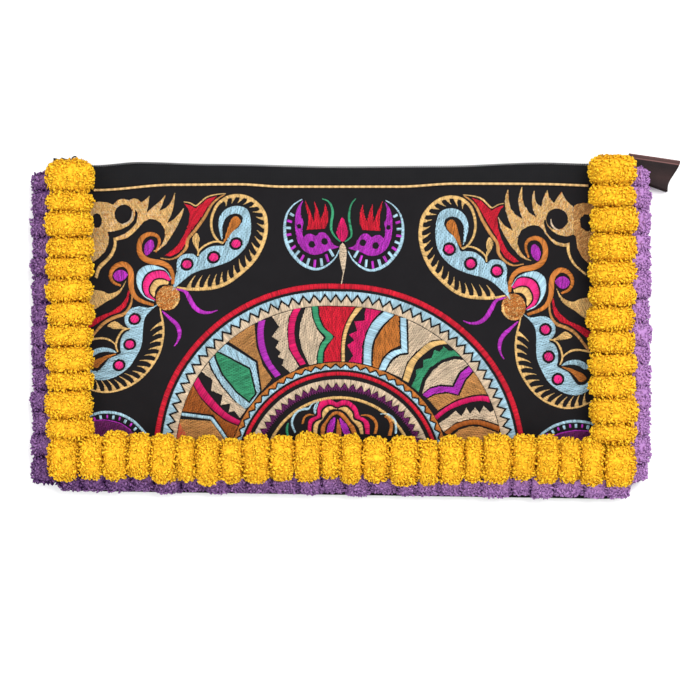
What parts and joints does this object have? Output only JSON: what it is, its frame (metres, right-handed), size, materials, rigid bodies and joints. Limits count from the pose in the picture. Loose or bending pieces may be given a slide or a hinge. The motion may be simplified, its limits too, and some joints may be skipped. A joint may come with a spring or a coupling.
{
  "type": "embroidered clutch bag",
  "caption": "Flat black cloth clutch bag with a zip along its top, butterflies and a half mandala embroidered on the front, and yellow and purple pompom borders",
  "frame": {"origin": "middle of the back, on the flat face that the bag rests on", "axes": "+X to the right of the front, +Y towards the zip, +Z out of the embroidered front"},
  "size_m": [0.3601, 0.1922, 0.0296],
  "materials": {
    "cloth": "black woven cotton with dense machine embroidery in many coloured rayon threads",
    "tape": "black woven zip tape",
    "teeth": "black nylon zip teeth",
    "slider": "black lacquered metal",
    "leather": "dark brown grained leather, lighter on its cut edges",
    "gold_thread": "gold rayon cord",
    "yellow_yarn": "thick cut acrylic yarn, golden yellow",
    "purple_yarn": "cut acrylic yarn, purple to lilac"
  },
  "bodies": {
    "root": {"front_panel": "cloth", "back_panel": "cloth", "zip_tape_front": "tape", "zip_tape_back": "tape", "zip_chain": "teeth", "zip_slider": "slider", "zip_tail": "tape", "zip_end_tab": "leather", "gold_cord": "gold_thread", "yellow_pompoms_left": "yellow_yarn", "yellow_pompoms_bottom": "yellow_yarn", "yellow_pompoms_right": "yellow_yarn", "purple_pompoms_left": "purple_yarn", "purple_pompoms_bottom": "purple_yarn", "purple_pompoms_right": "purple_yarn"}
  },
  "joints": []
}
